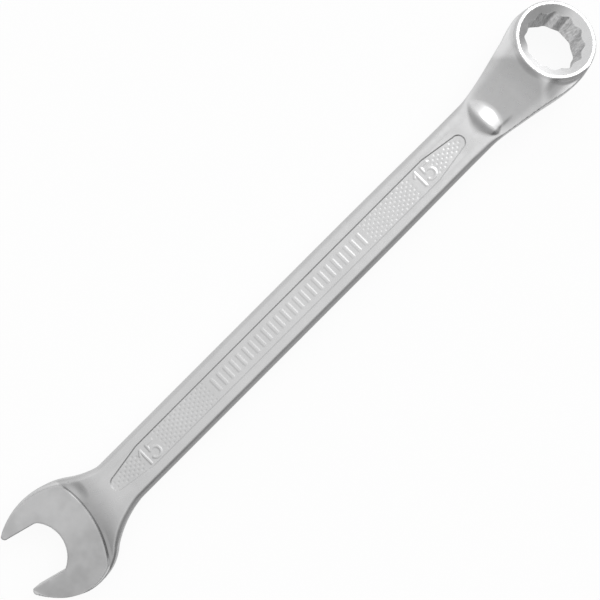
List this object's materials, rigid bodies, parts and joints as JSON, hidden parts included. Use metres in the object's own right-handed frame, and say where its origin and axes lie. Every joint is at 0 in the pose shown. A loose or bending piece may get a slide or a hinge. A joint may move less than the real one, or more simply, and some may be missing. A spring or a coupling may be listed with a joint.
{
  "type": "combination wrench",
  "caption": "Forged combination wrench with a 15 mm open jaw, a recessed panel along each face of the shank and a tilted twelve-point ring.",
  "frame": {"origin": "where the axis of the ring crosses the middle plane of the shank", "axes": "+X along the shank from the open jaw towards the ring, +Z out of the face that the ring stands proud of, +Y towards the side that the open jaw turns to"},
  "size_m": [0.2171, 0.0312, 0.0157],
  "materials": {
    "forged_steel": "satin"
  },
  "bodies": {
    "root": {"wrench_forging": "forged_steel"}
  },
  "joints": []
}
